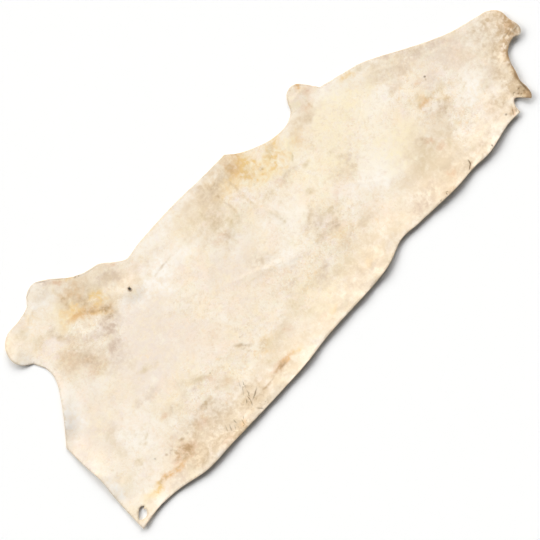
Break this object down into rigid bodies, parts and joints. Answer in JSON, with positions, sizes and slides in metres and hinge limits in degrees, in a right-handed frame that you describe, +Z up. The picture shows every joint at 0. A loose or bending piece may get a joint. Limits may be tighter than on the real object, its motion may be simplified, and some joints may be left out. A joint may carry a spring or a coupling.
{
  "type": "leather hide",
  "caption": "Side of undyed cattle leather lying flat, grain up, with a straight back edge, shank tabs, a notched neck end, lifted rims and a torn hole by the tail corner.",
  "frame": {"origin": "middle of the hide's box in plan, on the surface that it lies on", "axes": "+X along the backbone cut from the tail to the neck, +Y from the back to the belly, +Z up out of the grain side"},
  "size_m": [2.282, 0.9388, 0.0168],
  "materials": {
    "hide_leather": "undyed vegetable-tanned grain, matt, with brown and tan stains along the belly, shanks and neck"
  },
  "bodies": {
    "root": {"hide": "hide_leather"}
  },
  "joints": []
}
